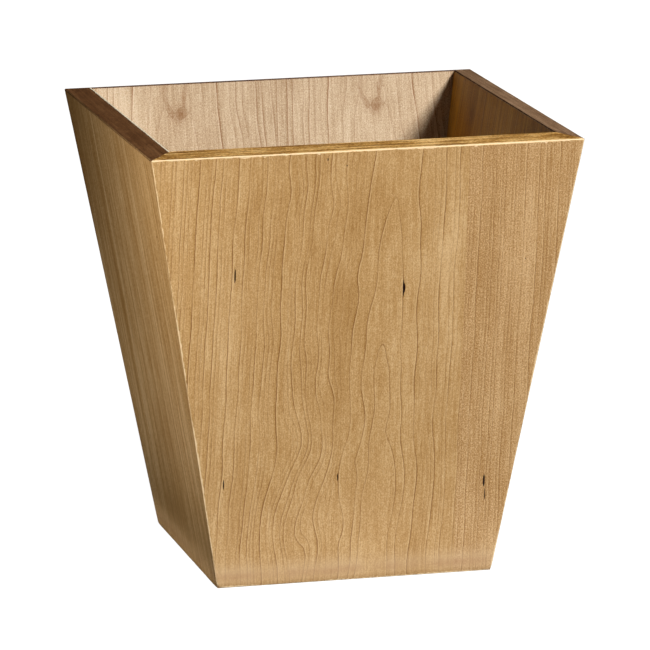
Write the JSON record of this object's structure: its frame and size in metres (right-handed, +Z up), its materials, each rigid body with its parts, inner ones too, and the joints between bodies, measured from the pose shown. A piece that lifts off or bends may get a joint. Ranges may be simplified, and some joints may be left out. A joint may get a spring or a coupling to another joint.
{
  "type": "wastebasket",
  "caption": "Square tapered wastebasket of wood-veneered board, open at the top, with mitred corners, a banded rim and a base housed in a groove.",
  "frame": {"origin": "centre of the footprint, on the floor", "axes": "+Z up towards the open rim; the front wall faces -Y and the right wall faces +X"},
  "size_m": [0.2918, 0.2918, 0.3046],
  "materials": {
    "face_veneer": "honey-stained maple veneer, satin lacquer, grain upright",
    "inner_veneer": "pale maple veneer, satin lacquer, grain upright",
    "rim_band": "darker stained maple edge band, grain along the rim",
    "core_board": "raw medium density fibreboard",
    "spline_ply": "raw plywood"
  },
  "bodies": {
    "root": {"back_core": "core_board", "back_inner_veneer": "inner_veneer", "back_left_spline": "spline_ply", "back_outer_veneer": "face_veneer", "back_right_spline": "spline_ply", "back_rim_band": "rim_band", "base_core": "core_board", "base_top_veneer": "inner_veneer", "base_under_veneer": "inner_veneer", "front_core": "core_board", "front_inner_veneer": "inner_veneer", "front_left_spline": "spline_ply", "front_outer_veneer": "face_veneer", "front_right_spline": "spline_ply", "front_rim_band": "rim_band", "left_core": "core_board", "left_inner_veneer": "inner_veneer", "left_outer_veneer": "face_veneer", "left_rim_band": "rim_band", "right_core": "core_board", "right_inner_veneer": "inner_veneer", "right_outer_veneer": "face_veneer", "right_rim_band": "rim_band"}
  },
  "joints": []
}
